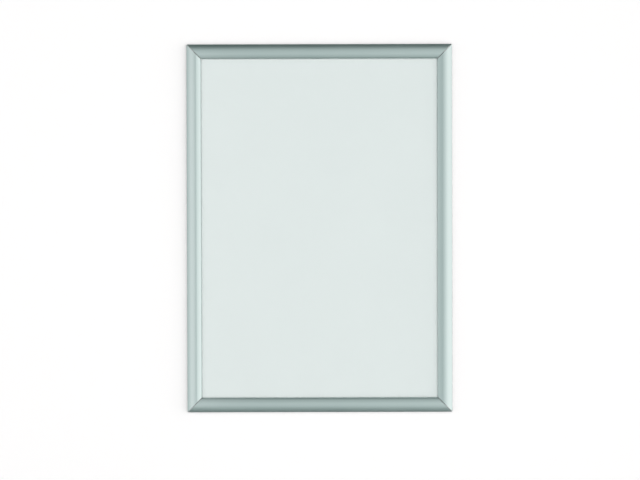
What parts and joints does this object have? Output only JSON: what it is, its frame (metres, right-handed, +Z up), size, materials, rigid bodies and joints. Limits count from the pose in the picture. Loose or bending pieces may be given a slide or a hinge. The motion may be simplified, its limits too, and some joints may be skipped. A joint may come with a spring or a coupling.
{
  "type": "poster frame",
  "caption": "Wall-hung snap frame for an A2 poster: mitred satin aluminium covers hinge open along their outer edges over a clear sheet and a white backing board.",
  "frame": {"origin": "middle of the frame's back, in the plane of the wall", "axes": "+X to the right as a viewer faces the frame, +Y into the wall, +Z up; the front faces -Y"},
  "size_m": [0.45, 0.012, 0.624],
  "materials": {
    "satin_cover": "satin anodised, fine lengthwise grain",
    "base_aluminium": "mill-finish extrusion",
    "spring_steel": "hardened spring steel",
    "key_steel": "zinc plated",
    "white_board": "matt white polystyrene",
    "clear_sheet": "clear, faintly anti-glare"
  },
  "bodies": {
    "frame": {"base_rail_bottom": "base_aluminium", "base_rail_top": "base_aluminium", "base_rail_left": "base_aluminium", "base_rail_right": "base_aluminium", "corner_key_bottom_left": "key_steel", "corner_key_bottom_right": "key_steel", "corner_key_top_right": "key_steel", "corner_key_top_left": "key_steel", "backing_board": "white_board", "clear_sheet": "clear_sheet"},
    "cover_bottom": {"cover_rail_bottom": "satin_cover"},
    "springs_bottom": {"snap_spring_bottom_1": "spring_steel", "snap_spring_bottom_2": "spring_steel"},
    "cover_top": {"cover_rail_top": "satin_cover"},
    "springs_top": {"snap_spring_top_1": "spring_steel", "snap_spring_top_2": "spring_steel"},
    "cover_left": {"cover_rail_left": "satin_cover"},
    "springs_left": {"snap_spring_left_1": "spring_steel", "snap_spring_left_2": "spring_steel", "snap_spring_left_3": "spring_steel"},
    "cover_right": {"cover_rail_right": "satin_cover"},
    "springs_right": {"snap_spring_right_1": "spring_steel", "snap_spring_right_2": "spring_steel", "snap_spring_right_3": "spring_steel"}
  },
  "joints": [
    {"name": "cover_bottom_hinge", "type": "hinge", "parent": "frame", "child": "cover_bottom", "pos_m": [0, -0.007, -0.3098], "axis": [1, 0, 0], "range_deg": [0, 95], "deforming": ["snap_spring_bottom_1", "snap_spring_bottom_2"]},
    {"name": "springs_bottom_pivot", "type": "hinge", "parent": "frame", "child": "springs_bottom", "pos_m": [0, -0.007, -0.2992], "axis": [1, 0, 0], "range_deg": [-38.56, 0]},
    {"name": "cover_top_hinge", "type": "hinge", "parent": "frame", "child": "cover_top", "pos_m": [0, -0.007, 0.3098], "axis": [-1, 0, 0], "range_deg": [0, 95], "deforming": ["snap_spring_top_1", "snap_spring_top_2"]},
    {"name": "springs_top_pivot", "type": "hinge", "parent": "frame", "child": "springs_top", "pos_m": [0, -0.007, 0.2992], "axis": [-1, 0, 0], "range_deg": [-38.56, 0]},
    {"name": "cover_left_hinge", "type": "hinge", "parent": "frame", "child": "cover_left", "pos_m": [-0.2228, -0.007, 0], "axis": [0, 0, -1], "range_deg": [0, 95], "deforming": ["snap_spring_left_1", "snap_spring_left_2", "snap_spring_left_3"]},
    {"name": "springs_left_pivot", "type": "hinge", "parent": "frame", "child": "springs_left", "pos_m": [-0.2122, -0.007, 0], "axis": [0, 0, -1], "range_deg": [-38.56, 0]},
    {"name": "cover_right_hinge", "type": "hinge", "parent": "frame", "child": "cover_right", "pos_m": [0.2228, -0.007, 0], "axis": [0, 0, 1], "range_deg": [0, 95], "deforming": ["snap_spring_right_1", "snap_spring_right_2", "snap_spring_right_3"]},
    {"name": "springs_right_pivot", "type": "hinge", "parent": "frame", "child": "springs_right", "pos_m": [0.2122, -0.007, 0], "axis": [0, 0, 1], "range_deg": [-38.56, 0]}
  ],
  "couplings": [
    {"joint": "springs_bottom_pivot", "follows": "cover_bottom_hinge", "ratio": -0.40479},
    {"joint": "springs_top_pivot", "follows": "cover_top_hinge", "ratio": -0.40479},
    {"joint": "springs_left_pivot", "follows": "cover_left_hinge", "ratio": -0.40479},
    {"joint": "springs_right_pivot", "follows": "cover_right_hinge", "ratio": -0.40479}
  ]
}
